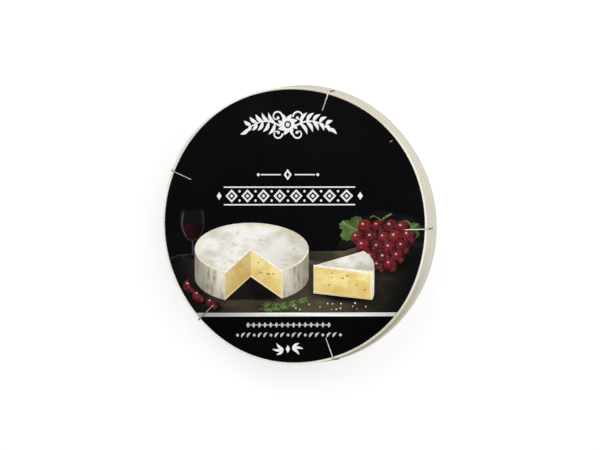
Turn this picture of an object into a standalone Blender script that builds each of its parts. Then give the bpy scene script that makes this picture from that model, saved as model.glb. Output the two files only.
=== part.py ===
"""A shut round box of thin poplar wood for one soft cheese, lying flat with its lid up.

The box is bent and stapled the way such boxes are made. A strip of veneer is bent round a disc
into a hoop, its ends lap, and wire staples hook over the hoop's edge: one leg lies on the disc and
the other on the wall. The lid and the base are made alike, and the lid slides down over the base.
A printed paper disc covers the lid inside its hoop. The box is shut, so its inside is solid.

Units are metres, +Z is up, and the origin is under the middle of the box on the plane it rests on.
The label's upper side points to +Y.
"""

import math

import bmesh
import bpy
from mathutils import Matrix, Vector

MM = 0.001

# The whole box; the lid's wall leans outwards by its flare from its top edge to its lower edge
BOX_HEIGHT = 28.0 * MM
BOX_RADIUS = 57.2 * MM
LID_HEIGHT = 13.0 * MM
LID_FLARE = 1.4 * MM

# Veneer and paper
HOOP_WALL = 0.75 * MM
DISC_THICKNESS = 1.4 * MM
LABEL_THICKNESS = 0.2 * MM
EDGE_ROUND = 0.12 * MM

# How the pieces sit in each other
LID_RIM = 0.35 * MM
BASE_RIM = 0.7 * MM
LID_SLIDE_GAP = 0.5 * MM
SIDE_GAP = 0.1 * MM
LABEL_SIDE_GAP = 0.1 * MM
GLUE_GAP = 0.05 * MM
STACK_GAP = 0.1 * MM

# The lap where the ends of a veneer strip meet: the outer end climbs over the inner one along a
# ramp, then thins along the lap to its tip. A lap is its tip's angle, its full rise, its tip's rise
# and how far back from the tip the wires through it start.
LAP_LENGTH = 22.0 * MM
LAP_RAMP = 16.0 * MM
LID_LAP = (163.5, 0.7 * MM, 0.25 * MM, 12.0 * MM)
BASE_LAP = (306.0, 0.3 * MM, 0.2 * MM, 6.0 * MM)

# Wire
WIRE_RADIUS = 0.3 * MM
WIRE_GAP = 0.05 * MM
WIRE_BEND = 0.45 * MM
NOTCH_WIDTH = 0.9 * MM
NOTCH_DEPTH = 0.4 * MM
BASE_NOTCH_DEPTH = 0.75 * MM
STITCH_LENGTH = 9.0 * MM

# Each staple over the lid's edge: its angle, its leg on the label, its leg down the wall, and how
# far the two legs swing sideways from square
LID_STAPLES = (
    (-0.2, 8.75 * MM, 6.35 * MM, -2.6, 0.5),
    (72.7, 7.55 * MM, 7.15 * MM, 2.3, 1.5),
    (156.5, 9.45 * MM, 6.95 * MM, -0.5, -1.0),
    (224.8, 8.85 * MM, 6.75 * MM, 1.0, 1.5),
    (289.6, 8.85 * MM, 6.55 * MM, -1.5, 0.5),
)
BASE_STAPLES = (
    (31.0, 8.4 * MM, 8.2 * MM, 2.0, -2.0),
    (104.5, 7.6 * MM, 8.8 * MM, -3.5, 1.5),
    (175.0, 9.0 * MM, 8.4 * MM, 4.0, 2.5),
    (249.0, 7.2 * MM, 8.6 * MM, -1.5, -3.0),
    (319.5, 8.6 * MM, 8.9 * MM, 3.0, 1.0),
)

ROUND_STEPS = 160

# Sizes worked out from those above
LID_INNER = BOX_RADIUS - HOOP_WALL
BASE_OUTER = LID_INNER - LID_SLIDE_GAP
BASE_INNER = BASE_OUTER - HOOP_WALL
LID_BOTTOM = BOX_HEIGHT - LID_HEIGHT
LID_LEAN = LID_FLARE / LID_HEIGHT
LABEL_TOP = BOX_HEIGHT - LID_RIM
LABEL_BOTTOM = LABEL_TOP - LABEL_THICKNESS
LID_DISC_TOP = LABEL_BOTTOM - GLUE_GAP
LID_DISC_BOTTOM = LID_DISC_TOP - DISC_THICKNESS
BASE_TOP = LID_DISC_BOTTOM - STACK_GAP
BASE_DISC_TOP = BASE_RIM + DISC_THICKNESS

# Colours, roughness and metallic of the four materials
PRINTED_PAPER = ((0.010, 0.010, 0.012), 0.42, 0.0)
POPLAR_HOOP = ((0.72, 0.66, 0.52), 0.62, 0.0)
POPLAR_DISC = ((0.76, 0.68, 0.51), 0.66, 0.0)
STEEL_WIRE = ((0.55, 0.55, 0.56), 0.32, 1.0)


def clear_scene():
    for old in list(bpy.data.objects):
        bpy.data.objects.remove(old, do_unlink=True)


def new_collection(name):
    collection = bpy.data.collections.new(name)
    bpy.context.scene.collection.children.link(collection)
    return collection


def finish(obj, collection, look):
    """Give an object its own material and put it in its collection."""
    colour, roughness, metallic = look
    material = bpy.data.materials.new(obj.name)
    material.use_nodes = True
    shader = material.node_tree.nodes["Principled BSDF"]
    shader.inputs["Base Color"].default_value = (*colour, 1.0)
    shader.inputs["Roughness"].default_value = roughness
    shader.inputs["Metallic"].default_value = metallic
    obj.data.materials.clear()
    obj.data.materials.append(material)
    for other in list(obj.users_collection):
        other.objects.unlink(obj)
    collection.objects.link(obj)
    return obj


def polar(radius, angle, height=0.0):
    return Vector((radius * math.cos(angle), radius * math.sin(angle), height))


def round_edges(obj, width):
    bevel = obj.modifiers.new("rounded edges", "BEVEL")
    bevel.width = width
    bevel.segments = 1
    bevel.limit_method = "ANGLE"
    bevel.angle_limit = math.radians(50.0)


def disc(name, radius, bottom, top, rounding):
    bpy.ops.mesh.primitive_cylinder_add(
        vertices=ROUND_STEPS, radius=radius, depth=top - bottom, location=(0, 0, (bottom + top) / 2)
    )
    obj = bpy.context.object
    obj.name = name
    obj.data.shade_smooth()
    obj.data.set_sharp_from_angle(angle=math.radians(40.0))
    if rounding:
        round_edges(obj, rounding)
    return obj


def lap_rise(turn, radius, lap):
    """How far a lapped strip stands out, at a turn of 0 to 2 pi from its start under the tip."""
    _, full_rise, tip_rise, _ = lap
    past_ramp = (turn - 2 * math.pi) * radius + LAP_LENGTH
    climb = min(1.0, max(0.0, 1.0 + past_ramp / LAP_RAMP))
    thinning = min(1.0, max(0.0, past_ramp / LAP_LENGTH))
    return full_rise * climb - (full_rise - tip_rise) * thinning


def rise_at(angle, radius, lap):
    """The same rise at an angle of the box in radians."""
    return lap_rise((angle - math.radians(lap[0])) % (2 * math.pi), radius, lap)


def lapped_outline(radius, lap):
    """The outside of a bent strip seen from above: it climbs over its own start and ends in a step."""
    tip = math.radians(lap[0])
    points = []
    for index in range(ROUND_STEPS + 1):
        turn = 2 * math.pi * index / ROUND_STEPS
        points.append(polar(radius + lap_rise(turn, radius, lap), tip + turn))
    return points


def circle_outline(radius):
    return [polar(radius, 2 * math.pi * index / ROUND_STEPS) for index in range(ROUND_STEPS)]


def add_closed_line(curve, points):
    spline = curve.splines.new("POLY")
    spline.points.add(len(points) - 1)
    for place, point in zip(spline.points, points):
        place.co = (*point, 1.0)
    spline.use_cyclic_u = True


def as_mesh(curve_object):
    """Turn a curve object into a mesh object with its caps joined on."""
    name = curve_object.name
    depsgraph = bpy.context.evaluated_depsgraph_get()
    mesh = bpy.data.meshes.new_from_object(curve_object.evaluated_get(depsgraph))
    solid = bmesh.new()
    solid.from_mesh(mesh)
    bmesh.ops.remove_doubles(solid, verts=solid.verts, dist=0.001 * MM)
    bmesh.ops.recalc_face_normals(solid, faces=solid.faces)
    solid.to_mesh(mesh)
    solid.free()
    place = curve_object.matrix_world.copy()
    bpy.data.objects.remove(curve_object, do_unlink=True)
    mesh_object = bpy.data.objects.new(name, mesh)
    mesh_object.matrix_world = place
    return mesh_object


def hoop(name, inner, outer, bottom, top, lap, flare):
    """A strip of veneer bent into a ring: its plan is drawn flat and raised to its height."""
    curve = bpy.data.curves.new(name, "CURVE")
    curve.dimensions = "2D"
    curve.fill_mode = "BOTH"
    curve.extrude = (top - bottom) / 2
    add_closed_line(curve, lapped_outline(outer, lap))
    add_closed_line(curve, circle_outline(inner))
    drawn = bpy.data.objects.new(name, curve)
    drawn.location = (0, 0, (bottom + top) / 2)
    bpy.context.scene.collection.objects.link(drawn)
    bpy.context.view_layer.update()
    obj = as_mesh(drawn)
    lean_out(obj, flare)
    bpy.context.scene.collection.objects.link(obj)
    obj.data.shade_smooth()
    obj.data.set_sharp_from_angle(angle=math.radians(40.0))
    round_edges(obj, EDGE_ROUND)
    return obj


def lean_out(obj, flare):
    """Push the lower edge of an upright ring outwards, so that its wall slants."""
    for vertex in obj.data.vertices:
        if vertex.co.z < 0:
            vertex.co += Vector((vertex.co.x, vertex.co.y, 0)).normalized() * flare


def cut_notches(target, cutters, staples, radius, edge, depth):
    """Press a groove into the hoop's edge for each wire that crosses it."""
    mesh = bpy.data.meshes.new(target.name + "_notches")
    blocks = bmesh.new()
    length = 4.0 * HOOP_WALL
    for angle, *_ in staples:
        place = (
            Matrix.Rotation(math.radians(angle), 4, "Z")
            @ Matrix.Translation((radius, 0, edge))
            @ Matrix.Diagonal((length, NOTCH_WIDTH, 2 * depth, 1.0))
        )
        bmesh.ops.create_cube(blocks, size=1.0, matrix=place)
    blocks.to_mesh(mesh)
    blocks.free()
    cutter = bpy.data.objects.new(mesh.name, mesh)
    cutter.hide_render = True
    cutter.display_type = "WIRE"
    cutters.objects.link(cutter)
    cut = target.modifiers.new("staple notches", "BOOLEAN")
    cut.operation = "DIFFERENCE"
    cut.solver = "EXACT"
    cut.object = cutter


def wire(name, points):
    curve = bpy.data.curves.new(name, "CURVE")
    curve.dimensions = "3D"
    curve.bevel_depth = WIRE_RADIUS
    curve.bevel_resolution = 2
    curve.use_fill_caps = True
    spline = curve.splines.new("POLY")
    spline.points.add(len(points) - 1)
    for place, point in zip(spline.points, points):
        place.co = (*point, 1.0)
    return bpy.data.objects.new(name, curve)


def staple_route(staple, radius, face, upward, lean):
    """Points of one hooked wire, from its end on the disc out over the edge and along the wall.

    The wall leans outwards by lean for each unit of its height.
    """
    angle, disc_leg, wall_leg, disc_swing, wall_swing = staple
    facing = math.radians(angle)
    outwards = polar(1.0, facing)
    sideways = polar(1.0, facing + math.pi / 2)
    towards = Vector((0, 0, 1.0 if upward else -1.0))
    standoff = WIRE_RADIUS + WIRE_GAP
    corner = radius + standoff - WIRE_BEND
    crown = face * towards.z + standoff
    flat = [(corner - disc_leg, 0.0, math.tan(math.radians(disc_swing)) * disc_leg)]
    for step in range(5):
        bend = math.radians(22.5 * step)
        drop = WIRE_BEND * (1.0 - math.cos(bend))
        flat.append((corner + WIRE_BEND * math.sin(bend) + lean * drop, -drop, 0.0))
    drift = math.tan(math.radians(wall_swing)) * wall_leg
    drop = WIRE_BEND + wall_leg
    flat.append((corner + WIRE_BEND + lean * drop, -drop, drift))
    return [
        outwards * out + towards * (crown + rise) + sideways * side for out, rise, side in flat
    ]


def stitch_route(radius, height, lap):
    """A short wire lying flat along the outside of a lap."""
    tip, _, _, inset = lap
    steps = 6
    points = []
    for index in range(steps + 1):
        angle = math.radians(tip) - (inset + STITCH_LENGTH * index / steps) / radius
        points.append(polar(radius + rise_at(angle, radius, lap), angle, height))
    return points


def build_lid(parts, cutters):
    label = disc("lid_label", LID_INNER - LABEL_SIDE_GAP, LABEL_BOTTOM, LABEL_TOP, 0.0)
    finish(label, parts, PRINTED_PAPER)
    top = disc("lid_disc", LID_INNER - SIDE_GAP, LID_DISC_BOTTOM, LID_DISC_TOP, EDGE_ROUND)
    finish(top, parts, POPLAR_DISC)
    ring = hoop("lid_hoop", LID_INNER, BOX_RADIUS, LID_BOTTOM, BOX_HEIGHT, LID_LAP, LID_FLARE)
    finish(ring, parts, POPLAR_HOOP)
    cut_notches(ring, cutters, LID_STAPLES, BOX_RADIUS, BOX_HEIGHT, NOTCH_DEPTH)
    for index, staple in enumerate(LID_STAPLES, 1):
        radius = BOX_RADIUS + rise_at(math.radians(staple[0]), BOX_RADIUS, LID_LAP)
        route = staple_route(staple, radius, LABEL_TOP, True, LID_LEAN)
        finish(wire(f"lid_staple_{index}", route), parts, STEEL_WIRE)


def build_base(parts, cutters):
    ring = hoop("base_hoop", BASE_INNER, BASE_OUTER, 0.0, BASE_TOP, BASE_LAP, 0.0)
    finish(ring, parts, POPLAR_HOOP)
    cut_notches(ring, cutters, BASE_STAPLES, BASE_OUTER, 0.0, BASE_NOTCH_DEPTH)
    bottom = disc("base_disc", BASE_INNER - SIDE_GAP, BASE_RIM, BASE_DISC_TOP, EDGE_ROUND)
    finish(bottom, parts, POPLAR_DISC)
    for index, staple in enumerate(BASE_STAPLES, 1):
        radius = BASE_OUTER + rise_at(math.radians(staple[0]), BASE_OUTER, BASE_LAP)
        route = staple_route(staple, radius, BASE_RIM, False, 0.0)
        finish(wire(f"base_staple_{index}", route), parts, STEEL_WIRE)


def build_core(parts):
    core = disc("pack_core", BASE_INNER - SIDE_GAP, BASE_DISC_TOP + STACK_GAP, BASE_TOP, 0.0)
    finish(core, parts, POPLAR_DISC)


def build_seam_stitches(parts):
    """Two wires through each lap hold the ends of the strip together."""
    standoff = WIRE_RADIUS + WIRE_GAP
    seams = (
        ("lid", BOX_RADIUS, LID_BOTTOM, BOX_HEIGHT, LID_LAP, LID_LEAN),
        ("base", BASE_OUTER, 0.0, LID_BOTTOM, BASE_LAP, 0.0),
    )
    for owner, radius, bottom, top, lap, lean in seams:
        for index, share in enumerate((0.28, 0.72), 1):
            height = bottom + share * (top - bottom)
            route = stitch_route(radius + lean * (top - height) + standoff, height, lap)
            finish(wire(f"{owner}_stitch_{index}", route), parts, STEEL_WIRE)


def main():
    clear_scene()
    parts = new_collection("cheese_box")
    cutters = new_collection("cutters")
    build_lid(parts, cutters)
    build_base(parts, cutters)
    build_core(parts)
    build_seam_stitches(parts)


main()
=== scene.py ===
import math
import random

import bmesh
import bpy
from mathutils import Matrix, Vector, noise
from mathutils.geometry import delaunay_2d_cdt


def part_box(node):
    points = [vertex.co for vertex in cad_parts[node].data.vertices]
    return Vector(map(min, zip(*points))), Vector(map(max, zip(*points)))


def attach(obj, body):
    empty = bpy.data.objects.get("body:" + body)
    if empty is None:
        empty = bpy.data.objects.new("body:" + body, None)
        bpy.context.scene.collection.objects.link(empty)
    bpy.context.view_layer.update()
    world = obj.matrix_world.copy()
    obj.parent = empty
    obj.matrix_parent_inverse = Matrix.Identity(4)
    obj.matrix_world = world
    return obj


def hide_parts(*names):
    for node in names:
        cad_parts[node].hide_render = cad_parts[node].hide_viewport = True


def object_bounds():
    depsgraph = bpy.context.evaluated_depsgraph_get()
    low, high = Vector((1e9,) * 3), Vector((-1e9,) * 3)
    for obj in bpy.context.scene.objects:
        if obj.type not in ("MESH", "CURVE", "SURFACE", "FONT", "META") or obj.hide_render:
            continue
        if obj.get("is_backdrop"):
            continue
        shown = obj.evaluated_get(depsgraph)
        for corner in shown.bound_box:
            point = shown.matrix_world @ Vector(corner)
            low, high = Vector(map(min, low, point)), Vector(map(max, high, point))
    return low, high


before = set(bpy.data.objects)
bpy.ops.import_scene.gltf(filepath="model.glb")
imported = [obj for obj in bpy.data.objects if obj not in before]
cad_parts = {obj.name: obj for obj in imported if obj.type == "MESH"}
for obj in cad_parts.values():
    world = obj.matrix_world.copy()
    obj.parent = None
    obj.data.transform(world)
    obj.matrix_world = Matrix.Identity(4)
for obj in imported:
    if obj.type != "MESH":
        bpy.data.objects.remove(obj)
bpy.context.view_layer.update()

# Looks of a shut round cheese box: bent poplar veneer, a printed paper disc and hooked wire staples.
# Metres, +Z up. The label's right is +X and its top is +Y.

mm = 0.001
labelLow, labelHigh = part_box("lid_label")
labelRadius = (labelHigh.y - labelLow.y) / 2
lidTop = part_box("lid_hoop")[1].z
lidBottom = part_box("lid_hoop")[0].z
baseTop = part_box("base_hoop")[1].z


# Small tools for objects and shader nodes

def addObject(name, mesh):
    obj = bpy.data.objects.new(name, mesh)
    bpy.context.scene.collection.objects.link(obj)
    return obj


def addNode(tree, kind, settings=None, **inputs):
    # inputs are sockets to link or plain values, by socket name with _ for a space
    node = tree.nodes.new(kind)
    for key, value in (settings or {}).items():
        setattr(node, key, value)
    for key, value in inputs.items():
        feed(node.inputs[key.replace("_", " ")], value)
    return node


def feed(socket, value):
    if isinstance(value, bpy.types.NodeSocket):
        socket.id_data.links.new(value, socket)
    elif socket.type == "RGBA" and len(value) == 3:
        socket.default_value = (*value, 1.0)
    else:
        socket.default_value = value


def treeOf(*values):
    # the node tree of the first socket among some values
    return next(value.id_data for value in values if isinstance(value, bpy.types.NodeSocket))


def maths(operation, a, b=None, clamp=False):
    node = addNode(treeOf(a, b), "ShaderNodeMath", {"operation": operation, "use_clamp": clamp})
    feed(node.inputs[0], a)
    if b is not None:
        feed(node.inputs[1], b)
    return node.outputs[0]


def plus(a, b):
    return maths("ADD", a, b)


def minus(a, b):
    return maths("SUBTRACT", a, b)


def times(a, b):
    return maths("MULTIPLY", a, b)


def mixColour(factor, a, b, blend="MIX"):
    node = addNode(treeOf(factor, a, b), "ShaderNodeMix", {"data_type": "RGBA", "blend_type": blend})
    for index, value in ((0, factor), (6, a), (7, b)):
        feed(node.inputs[index], value)
    return node.outputs[2]


def spread(value, low, high, outLow=0.0, outHigh=1.0):
    # low..high of a value stretched over outLow..outHigh, clamped and eased
    node = addNode(treeOf(value), "ShaderNodeMapRange", {"interpolation_type": "SMOOTHSTEP"})
    for index, number in enumerate((value, low, high, outLow, outHigh)):
        feed(node.inputs[index], number)
    return node.outputs[0]


def vectorMaths(operation, a, b=None, output="Vector"):
    node = addNode(treeOf(a), "ShaderNodeVectorMath", {"operation": operation})
    feed(node.inputs[0], a)
    if b is not None:
        feed(node.inputs[1], b)
    return node.outputs[output]


def scaled(vector, scale):
    return vectorMaths("MULTIPLY", vector, scale)


def shifted(vector, offset):
    return vectorMaths("ADD", vector, offset)


def lengthOf(vector):
    return vectorMaths("LENGTH", vector, output="Value")


def axisOf(vector, axis):
    return addNode(treeOf(vector), "ShaderNodeSeparateXYZ", Vector=vector).outputs[axis]


def awayFrom(vector, axis):
    return maths("ABSOLUTE", axisOf(vector, axis))


def noiseOf(vector, scale=1.0, detail=2.0, roughness=0.5):
    # a scale of three numbers stretches the noise
    if not isinstance(scale, float):
        vector, scale = scaled(vector, scale), 1.0
    return addNode(
        treeOf(vector), "ShaderNodeTexNoise", Vector=vector, Scale=scale, Detail=detail, Roughness=roughness
    ).outputs["Fac"]


def srgb(red, green, blue):
    # a colour read as 0 to 255 on a screen, as the linear values that shaders take
    shares = (red / 255, green / 255, blue / 255)
    return tuple(((c + 0.055) / 1.055) ** 2.4 if c > 10 / 255 else c / 12.92 for c in shares)


def tint(colour, value, low, high, other, amounts=(0.0, 1.0)):
    # a colour mixed towards another one as a value goes from low to high
    return mixColour(spread(value, low, high, *amounts), colour, srgb(*other))


def newGroup(name, inputs, outputs):
    tree = bpy.data.node_groups.new(name, "ShaderNodeTree")
    for label, kind, value in inputs:
        socket = tree.interface.new_socket(label, in_out="INPUT", socket_type="NodeSocket" + kind)
        if value is not None:
            socket.default_value = value
    for label, kind in outputs:
        tree.interface.new_socket(label, in_out="OUTPUT", socket_type="NodeSocket" + kind)
    return tree, tree.nodes.new("NodeGroupInput").outputs, tree.nodes.new("NodeGroupOutput").inputs


def useGroup(group, **inputs):
    return addNode(treeOf(*inputs.values()), "ShaderNodeGroup", {"node_tree": group}, **inputs).outputs


def newMaterial(name):
    material = bpy.data.materials.new(name)
    material.use_nodes = True
    tree = material.node_tree
    shader = tree.nodes["Principled BSDF"]
    place = tree.nodes.new("ShaderNodeTexCoord")
    return material, tree, shader, place.outputs["Object"], place.outputs["UV"]


def coat(shader, colour, roughness, height, strength, depth, specular=0.5):
    # colour, roughness and a bump of the given strength and depth in millimetres
    feed(shader.inputs["Base Color"], colour)
    feed(shader.inputs["Roughness"], roughness)
    bump = addNode(shader.id_data, "ShaderNodeBump", Strength=strength, Distance=depth * mm, Height=height)
    feed(shader.inputs["Normal"], bump.outputs["Normal"])
    shader.inputs["Specular IOR Level"].default_value = specular


def clamp(value, low=0.0, high=1.0):
    return min(high, max(low, value))


def eased(value):
    value = clamp(value)
    return value * value * (3 - 2 * value)


# Camera

view = {
    "tilt": math.radians(18.70),     # how far the view is off square to the lid
    "towards": math.radians(8.74),   # which side it leans to, from +X towards +Y
    "distance": 7.0,                 # from the label's middle, in label radii
    "shiftRight": -0.0792,           # where the label's middle lies off the view's axis, in label radii
    "shiftUp": -0.0100,
    "radiusPixels": 137.29,
    "frameWidth": 600.0,
    "sensor": 36.0,
}


def makeCamera(v):
    middle = Vector(((labelLow.x + labelHigh.x) / 2, (labelLow.y + labelHigh.y) / 2, labelHigh.z))
    backwards = Vector((
        math.sin(v["tilt"]) * math.cos(v["towards"]),
        math.sin(v["tilt"]) * math.sin(v["towards"]),
        math.cos(v["tilt"]),
    ))
    upwards = Vector((0, 1, 0))
    upwards = (upwards - backwards * upwards.dot(backwards)).normalized()
    rightwards = upwards.cross(backwards)
    data = bpy.data.cameras.new("camera")
    data.sensor_width = v["sensor"]
    data.lens = v["radiusPixels"] * v["distance"] / v["frameWidth"] * v["sensor"]
    data.clip_start = 0.01
    data.clip_end = 20.0
    camera = addObject("camera", data)
    turn = Matrix((rightwards, upwards, backwards)).transposed().to_4x4()
    offset = v["distance"] * backwards - v["shiftRight"] * rightwards - v["shiftUp"] * upwards
    camera.matrix_world = Matrix.Translation(middle + labelRadius * offset) @ turn
    bpy.context.scene.camera = camera


makeCamera(view)
print("camera made")


# Floor and light

studio = {
    "floorSize": 3.0,
    "floorGap": 0.05 * mm,   # between the box and the floor
    "floorColour": srgb(176, 176, 176),
    "floorGlow": 0.10,
    "floorGlowSeen": 0.62,
    "worldColour": (1.0, 1.0, 1.0),
    "worldStrength": 0.38,
    "worldStrengthSeen": 1.0,
    "lamps": (
        # name, azimuth, elevation, distance, size, power
        ("key", 16.0, 49.0, 1.2, 1.0, 8.7),
        ("upperFill", 106.0, 55.0, 1.3, 0.9, 5.8),
    ),
}


def makeStudio(s):
    size = s["floorSize"] / 2
    corners = [(-size, -size, 0), (size, -size, 0), (size, size, 0), (-size, size, 0)]
    mesh = bpy.data.meshes.new("floor")
    mesh.from_pydata(corners, [], [(0, 1, 2, 3)])
    floor = addObject("floor", mesh)
    floor.location.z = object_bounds()[0][2] - s["floorGap"]
    material, tree, shader, place, _ = newMaterial("floorPaint")
    tone = spread(noiseOf(place, 6.0, 3.0), 0.3, 0.7, 0.985, 1.0)
    feed(shader.inputs["Base Color"], mixColour(1.0, s["floorColour"], tone, "MULTIPLY"))
    shader.inputs["Emission Color"].default_value = (1.0, 1.0, 1.0, 1.0)
    seen = addNode(tree, "ShaderNodeLightPath").outputs["Is Camera Ray"]
    glow = spread(seen, 0.0, 1.0, s["floorGlow"], s["floorGlowSeen"])
    feed(shader.inputs["Emission Strength"], glow)
    shader.inputs["Roughness"].default_value = 0.9
    shader.inputs["Specular IOR Level"].default_value = 0.1
    mesh.materials.append(material)
    floor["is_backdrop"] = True
    world = bpy.data.worlds.new("studio")
    world.use_nodes = True
    tree = world.node_tree
    background = tree.nodes["Background"]
    background.inputs["Color"].default_value = (*s["worldColour"], 1.0)
    seen = addNode(tree, "ShaderNodeLightPath").outputs["Is Camera Ray"]
    strength = spread(seen, 0.0, 1.0, s["worldStrength"], s["worldStrengthSeen"])
    feed(background.inputs["Strength"], strength)
    bpy.context.scene.world = world
    for name, azimuth, elevation, distance, size, power in s["lamps"]:
        data = bpy.data.lights.new(name, "AREA")
        data.shape = "DISK"
        data.size = size
        data.energy = power
        lamp = addObject(name, data)
        a, e = math.radians(azimuth), math.radians(elevation)
        away = Vector((math.cos(a) * math.cos(e), math.sin(a) * math.cos(e), math.sin(e)))
        lamp.location = away * distance
        lamp.rotation_euler = away.to_track_quat("Z", "Y").to_euler()
    bpy.context.scene.view_settings.view_transform = "Standard"


makeStudio(studio)
print("studio made")


# Wood: fine long fibres, broader bands, pale patches and short dark flecks

def woodGroup():
    tree, given, put = newGroup(
        "woodGrain",
        (
            ("Vector", "Vector", None), ("Fibre Scale", "Vector", (45.0, 45.0, 2600.0)),
            ("Pale", "Color", (0.8, 0.7, 0.5, 1.0)), ("Dark", "Color", (0.6, 0.5, 0.3, 1.0)),
            ("Fleck", "Color", (0.3, 0.2, 0.1, 1.0)), ("Contrast", "Float", 0.6), ("Greying", "Float", 0.35),
        ),
        (("Color", "Color"), ("Roughness", "Float"), ("Height", "Float")),
    )
    warp = addNode(tree, "ShaderNodeTexNoise", Vector=given["Vector"], Scale=30.0, Detail=1.0)
    bent = shifted(given["Vector"], scaled(warp.outputs["Color"], (0.0012, 0.0012, 0.0012)))
    fibrePlace = scaled(bent, given["Fibre Scale"])
    fibre = noiseOf(fibrePlace, 1.0, 3.0, 0.6)
    band = noiseOf(fibrePlace, (0.6, 0.16, 0.16), 2.0, 0.5)
    patch = noiseOf(given["Vector"], 60.0, 2.0, 0.5)
    fleckPlace = scaled(fibrePlace, (7.0, 0.8, 0.8))
    fleck = spread(noiseOf(fleckPlace, 1.0, 1.0, 0.4), 0.69, 0.78)
    lines = spread(fibre, 0.36, 0.66)
    bands = spread(band, 0.35, 0.65)
    both = plus(times(lines, 0.55), times(bands, 0.45))
    dark = maths("MULTIPLY", both, given["Contrast"], clamp=True)
    colour = mixColour(dark, given["Pale"], given["Dark"])
    greying = times(spread(patch, 0.4, 0.7), given["Greying"])
    colour = mixColour(greying, colour, srgb(214, 214, 207))
    colour = mixColour(times(fleck, 0.5), colour, given["Fleck"])
    feed(put["Color"], colour)
    feed(put["Roughness"], spread(fibre, 0.3, 0.7, 0.55, 0.74))
    feed(put["Height"], fibre)
    return tree


woodGrain = woodGroup()

hoopWood = {
    "fibreScale": (55.0, 2400.0, 1.0),   # along the strip, across it
    "pale": srgb(238, 232, 215),
    "dark": srgb(212, 204, 179),
    "fleck": srgb(160, 142, 108),
    "contrast": 0.65,
    "freshEdge": srgb(243, 240, 229),
    "grey": srgb(222, 223, 216),
    "greyUpTo": 5.0 * mm,
    "greying": 0.6,
    # painted shade: the colour of a darker streak on the lid's wall
    "streak": srgb(152, 141, 106),
    "shadeStreakScale": (27.0, 230.0, 0.0),   # one over its half length and half height
    "shadeStreakFibre": (40.0, 1100.0, 1.0),
    "shadeStreakFray": 2.6,
    # painted shade: the colour the cut edge takes over a few stretches
    "edgeShade": srgb(208, 200, 176),
    "edgeFibre": (1200.0, 7000.0, 1.0),
}
discWood = {
    "fibreScale": (38.0, 1500.0, 400.0),   # along the grain, across it, through the disc
    "pale": srgb(233, 223, 196),
    "dark": srgb(206, 189, 148),
    "fleck": srgb(140, 112, 72),
    "contrast": 0.7,
}


def grainOf(place, w):
    return useGroup(
        woodGrain, Vector=place, Fibre_Scale=w["fibreScale"], Pale=w["pale"], Dark=w["dark"],
        Fleck=w["fleck"], Contrast=w["contrast"],
    )


def hoopMaterial(name, w, shadeStreakAt=None, edgeShadeAt=()):
    material, tree, shader, _, alongStrip = newMaterial(name)
    grain = grainOf(alongStrip, w)
    wood = grain["Color"]
    greyed = spread(axisOf(alongStrip, "Y"), 0.0, w["greyUpTo"], w["greying"], 0.0)
    wood = mixColour(greyed, wood, w["grey"])
    if shadeStreakAt:
        # painted shade: a darker streak on the wall that frays out along the fibres
        away = scaled(shifted(alongStrip, (-shadeStreakAt[0], -shadeStreakAt[1], 0.0)), w["shadeStreakScale"])
        uneven = minus(noiseOf(alongStrip, w["shadeStreakFibre"], 3.0, 0.6), 0.5)
        frayed = plus(lengthOf(away), times(uneven, w["shadeStreakFray"]))
        wood = mixColour(spread(frayed, 0.2, 1.2, 0.62, 0.0), wood, w["streak"])
    cut = addNode(tree, "ShaderNodeAttribute", {"attribute_name": "cutEdge"}).outputs["Fac"]
    torn = noiseOf(alongStrip, w["edgeFibre"], 3.0, 0.6)
    ragged = plus(cut, times(minus(torn, 0.5), 0.9))
    mask = spread(ragged, 0.35, 0.75)
    torn = spread(torn, 0.25, 0.7, 0.86, 1.0)
    freshEdgeAndShade = mixColour(1.0, w["freshEdge"], torn, "MULTIPLY")
    # painted shade: the cut edge darkens over each given stretch
    for place, reach in edgeShadeAt:
        gap = maths("ABSOLUTE", minus(axisOf(alongStrip, "X"), place))
        freshEdgeAndShade = mixColour(spread(gap, 0.4 * reach, reach, 0.85, 0.0), freshEdgeAndShade, w["edgeShade"])
    colour = mixColour(times(mask, 0.85), wood, freshEdgeAndShade)
    height = plus(grain["Height"], times(torn, cut))
    coat(shader, colour, grain["Roughness"], height, 0.35, 0.05, 0.3)
    return material


def discMaterial(name, w):
    material, _, shader, place, _ = newMaterial(name)
    grain = grainOf(place, w)
    coat(shader, grain["Color"], grain["Roughness"], grain["Height"], 0.4, 0.06, 0.3)
    return material


for nodeName in ("lid_disc", "base_disc", "pack_core"):
    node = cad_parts[nodeName]
    node.data.materials.clear()
    node.data.materials.append(discMaterial(nodeName + "Wood", discWood))
print("wood made")


# Hoops: one bent strip of veneer each, whose skived ends lap, with a notch under every staple

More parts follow.
